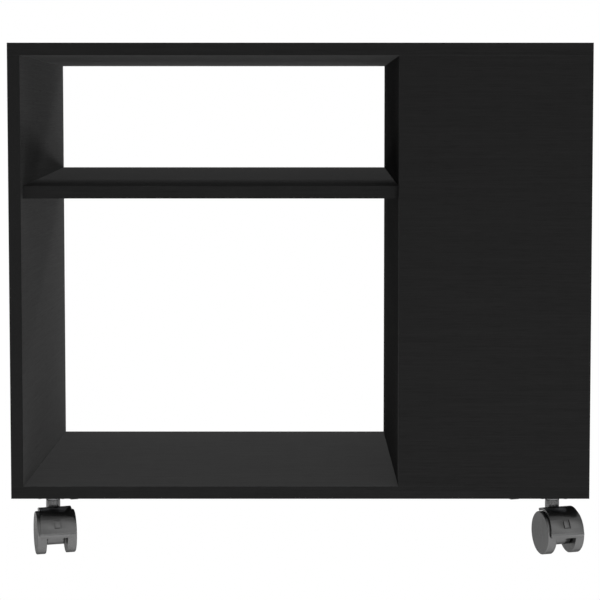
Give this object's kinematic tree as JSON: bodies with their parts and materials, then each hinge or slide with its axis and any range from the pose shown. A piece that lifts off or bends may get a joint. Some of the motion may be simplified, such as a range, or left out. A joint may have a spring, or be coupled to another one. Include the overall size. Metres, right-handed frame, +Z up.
{
  "type": "printer stand",
  "caption": "Low box-shaped printer stand of black board on swivel casters, with an open bay and slanted shelf beside a closed-front end column of side-facing pigeonholes.",
  "frame": {"origin": "on the floor, at the middle of the whole object's box", "axes": "+X to the right as seen from the front, towards the closed column; the front faces -Y; +Z up"},
  "size_m": [0.7, 0.3689, 0.62],
  "materials": {
    "black_board": "black melamine-faced chipboard, fine satin grain",
    "black_cap": "matt",
    "zinc": "zinc plated",
    "bright_steel": "bright turned steel",
    "beech": "plain beech",
    "caster_grey": "glossy dark grey nylon",
    "wheel_grey": "glossy dark grey nylon"
  },
  "bodies": {
    "cabinet": {"top_board": "black_board", "bottom_board": "black_board", "left_side_panel": "black_board", "divider_panel": "black_board", "column_front_panel": "black_board", "column_back_panel": "black_board", "bay_shelf": "black_board", "column_upper_shelf": "black_board", "column_lower_shelf": "black_board", "top_screws": "zinc", "top_screw_caps": "black_cap", "bottom_screws": "zinc", "shelf_screws": "zinc", "shelf_screw_caps": "black_cap", "dowels": "beech", "shelf_pins": "zinc", "plate_screws": "zinc", "front_left_plate": "zinc", "front_left_kingpin": "bright_steel", "front_left_grip_ring": "bright_steel", "front_right_plate": "zinc", "front_right_kingpin": "bright_steel", "front_right_grip_ring": "bright_steel", "rear_left_plate": "zinc", "rear_left_kingpin": "bright_steel", "rear_left_grip_ring": "bright_steel", "rear_right_plate": "zinc", "rear_right_kingpin": "bright_steel", "rear_right_grip_ring": "bright_steel"},
    "front_left_swivel": {"front_left_thrust_washer": "bright_steel", "front_left_hood": "caster_grey", "front_left_axle": "bright_steel"},
    "front_left_left_wheel": {"front_left_left_wheel": "wheel_grey"},
    "front_left_right_wheel": {"front_left_right_wheel": "wheel_grey"},
    "front_right_swivel": {"front_right_thrust_washer": "bright_steel", "front_right_hood": "caster_grey", "front_right_axle": "bright_steel"},
    "front_right_left_wheel": {"front_right_left_wheel": "wheel_grey"},
    "front_right_right_wheel": {"front_right_right_wheel": "wheel_grey"},
    "rear_left_swivel": {"rear_left_thrust_washer": "bright_steel", "rear_left_hood": "caster_grey", "rear_left_axle": "bright_steel"},
    "rear_left_left_wheel": {"rear_left_left_wheel": "wheel_grey"},
    "rear_left_right_wheel": {"rear_left_right_wheel": "wheel_grey"},
    "rear_right_swivel": {"rear_right_thrust_washer": "bright_steel", "rear_right_hood": "caster_grey", "rear_right_axle": "bright_steel"},
    "rear_right_left_wheel": {"rear_right_left_wheel": "wheel_grey"},
    "rear_right_right_wheel": {"rear_right_right_wheel": "wheel_grey"}
  },
  "joints": [
    {"name": "front_left_swivel", "type": "hinge", "parent": "cabinet", "child": "front_left_swivel", "pos_m": [-0.3042, -0.13348, 0.06], "axis": [0, 0, 1], "continuous": true},
    {"name": "front_left_left_wheel_spin", "type": "hinge", "parent": "front_left_swivel", "child": "front_left_left_wheel", "pos_m": [-0.29966, -0.14986, 0.026], "axis": [0.9636, 0.2672, 0], "continuous": true},
    {"name": "front_left_right_wheel_spin", "type": "hinge", "parent": "front_left_swivel", "child": "front_left_right_wheel", "pos_m": [-0.29966, -0.14986, 0.026], "axis": [0.9636, 0.2672, 0], "continuous": true},
    {"name": "front_right_swivel", "type": "hinge", "parent": "cabinet", "child": "front_right_swivel", "pos_m": [0.3099, -0.13348, 0.06], "axis": [0, 0, 1], "continuous": true},
    {"name": "front_right_left_wheel_spin", "type": "hinge", "parent": "front_right_swivel", "child": "front_right_left_wheel", "pos_m": [0.31444, -0.14986, 0.026], "axis": [0.9636, 0.2672, 0], "continuous": true},
    {"name": "front_right_right_wheel_spin", "type": "hinge", "parent": "front_right_swivel", "child": "front_right_right_wheel", "pos_m": [0.31444, -0.14986, 0.026], "axis": [0.9636, 0.2672, 0], "continuous": true},
    {"name": "rear_left_swivel", "type": "hinge", "parent": "cabinet", "child": "rear_left_swivel", "pos_m": [-0.3042, 0.15252, 0.06], "axis": [0, 0, 1], "continuous": true},
    {"name": "rear_left_left_wheel_spin", "type": "hinge", "parent": "rear_left_swivel", "child": "rear_left_left_wheel", "pos_m": [-0.29966, 0.13614, 0.026], "axis": [0.9636, 0.2672, 0], "continuous": true},
    {"name": "rear_left_right_wheel_spin", "type": "hinge", "parent": "rear_left_swivel", "child": "rear_left_right_wheel", "pos_m": [-0.29966, 0.13614, 0.026], "axis": [0.9636, 0.2672, 0], "continuous": true},
    {"name": "rear_right_swivel", "type": "hinge", "parent": "cabinet", "child": "rear_right_swivel", "pos_m": [0.3099, 0.15252, 0.06], "axis": [0, 0, 1], "continuous": true},
    {"name": "rear_right_left_wheel_spin", "type": "hinge", "parent": "rear_right_swivel", "child": "rear_right_left_wheel", "pos_m": [0.31444, 0.13614, 0.026], "axis": [0.9636, 0.2672, 0], "continuous": true},
    {"name": "rear_right_right_wheel_spin", "type": "hinge", "parent": "rear_right_swivel", "child": "rear_right_right_wheel", "pos_m": [0.31444, 0.13614, 0.026], "axis": [0.9636, 0.2672, 0], "continuous": true}
  ]
}
